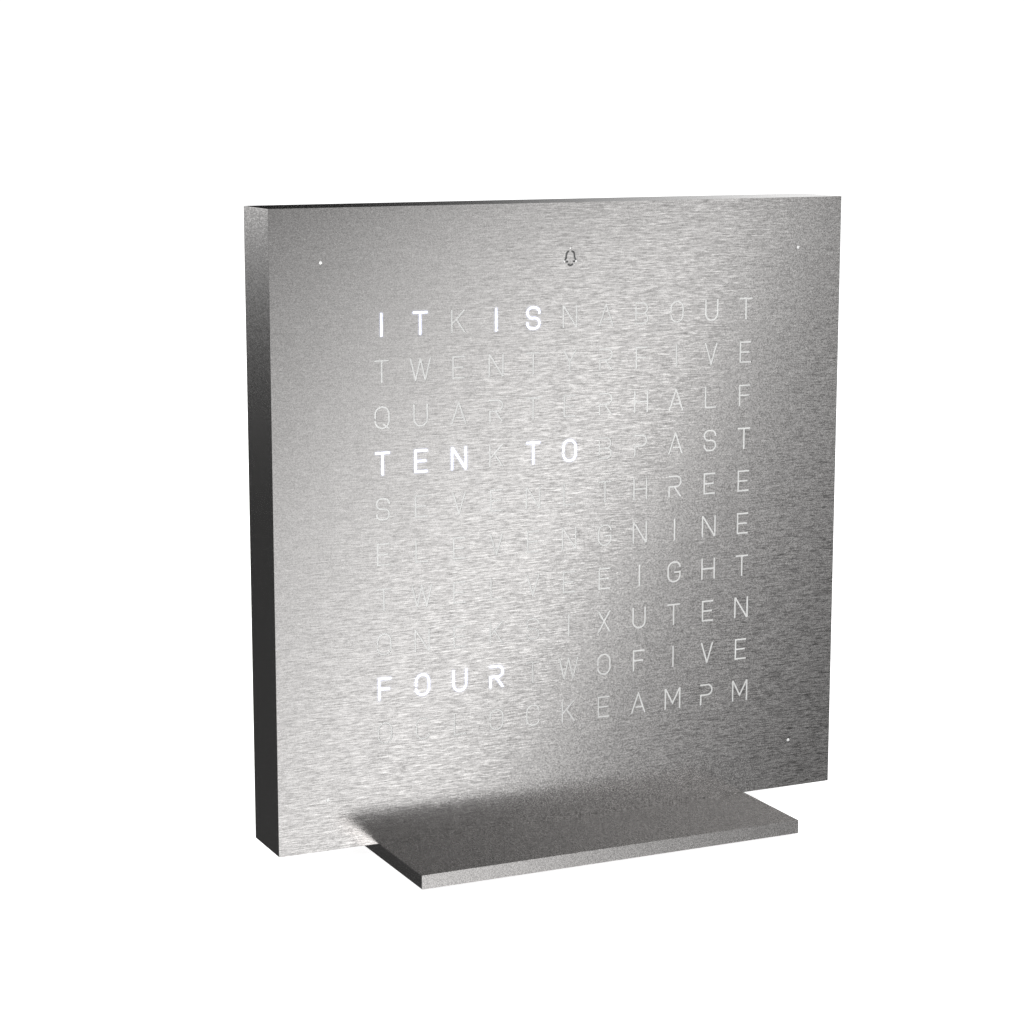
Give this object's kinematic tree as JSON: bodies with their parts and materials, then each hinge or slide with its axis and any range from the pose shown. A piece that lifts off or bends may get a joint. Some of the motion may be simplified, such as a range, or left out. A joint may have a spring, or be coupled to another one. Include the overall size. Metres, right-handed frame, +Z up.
{
  "type": "word clock",
  "caption": "Square brushed steel desk clock that shows the time as lit words in a letter grid, standing on a flat steel foot plate.",
  "frame": {"origin": "on the surface the clock stands on, below the middle of the shell's depth and width", "axes": "+X to the viewer's right, +Y from the face to the back, +Z up"},
  "size_m": [0.135, 0.062, 0.1386],
  "materials": {
    "face_steel": "fine horizontal brushing, satin",
    "foot_steel": "fine brushing along the width, satin",
    "letter_white": "translucent white, flush with the steel, lit from behind where a word is shown",
    "smoked_window": "smoked, translucent",
    "baffle_white": "moulded matt white",
    "board_white": "white solder resist",
    "lamp_white": "pale lamp package",
    "chip_black": "moulded black package",
    "screw_steel": "bright steel",
    "spacer_brass": "turned brass",
    "cover_black": "fine moulded texture",
    "bar_steel": "machined",
    "pad_rubber": "fine matt rubber sheet",
    "key_black": "satin moulded",
    "plunger_black": "moulded",
    "switch_black": "moulded",
    "socket_metal": "stamped, bright",
    "socket_plastic": "moulded, with gilt contacts",
    "buzzer_black": "moulded",
    "buzzer_brass": "rolled sheet",
    "cell_metal": "nickel plated",
    "holder_black": "moulded",
    "clip_metal": "spring sheet",
    "crystal_metal": "drawn can",
    "ferrite_grey": "pressed ferrite",
    "capacitor_metal": "drawn can"
  },
  "bodies": {
    "clock": {"front_cover": "face_steel", "letter_inlay": "letter_white", "alarm_window": "smoked_window", "light_baffle": "baffle_white", "led_board": "board_white", "letter_leds": "lamp_white", "minute_leds": "lamp_white", "alarm_led": "lamp_white", "light_sensor": "chip_black", "face_studs": "screw_steel", "hex_spacers": "spacer_brass", "rear_cover": "cover_black", "rear_cover_screws": "screw_steel", "foot_plate": "foot_steel", "foot_bar": "bar_steel", "foot_screws": "screw_steel", "anti_slip_pad": "pad_rubber", "switch_bodies": "switch_black", "socket_shell": "socket_metal", "socket_tongue": "socket_plastic", "buzzer_case": "buzzer_black", "buzzer_disc": "buzzer_brass", "coin_cell": "cell_metal", "coin_cell_holder": "holder_black", "coin_cell_clip": "clip_metal", "controller_chip": "chip_black", "led_driver_chips": "chip_black", "clock_chip": "chip_black", "clock_crystal": "crystal_metal", "power_regulator": "chip_black", "power_inductor": "ferrite_grey", "capacitors": "capacitor_metal"},
    "light_key": {"light_key": "key_black", "light_plunger": "plunger_black"},
    "alarm_key": {"alarm_key": "key_black", "alarm_plunger": "plunger_black"},
    "minute_key": {"minute_key": "key_black", "minute_plunger": "plunger_black"},
    "hour_key": {"hour_key": "key_black", "hour_plunger": "plunger_black"}
  },
  "joints": [
    {"name": "light_key_press", "type": "slide", "parent": "clock", "child": "light_key", "axis": [0, -1, 0], "range_m": [0, 0.0005], "stiffness_N_per_m": 900, "springref_m": -0.0008},
    {"name": "alarm_key_press", "type": "slide", "parent": "clock", "child": "alarm_key", "axis": [0, -1, 0], "range_m": [0, 0.0005], "stiffness_N_per_m": 900, "springref_m": -0.0008},
    {"name": "minute_key_press", "type": "slide", "parent": "clock", "child": "minute_key", "axis": [0, -1, 0], "range_m": [0, 0.0005], "stiffness_N_per_m": 900, "springref_m": -0.0008},
    {"name": "hour_key_press", "type": "slide", "parent": "clock", "child": "hour_key", "axis": [0, -1, 0], "range_m": [0, 0.0005], "stiffness_N_per_m": 900, "springref_m": -0.0008}
  ]
}
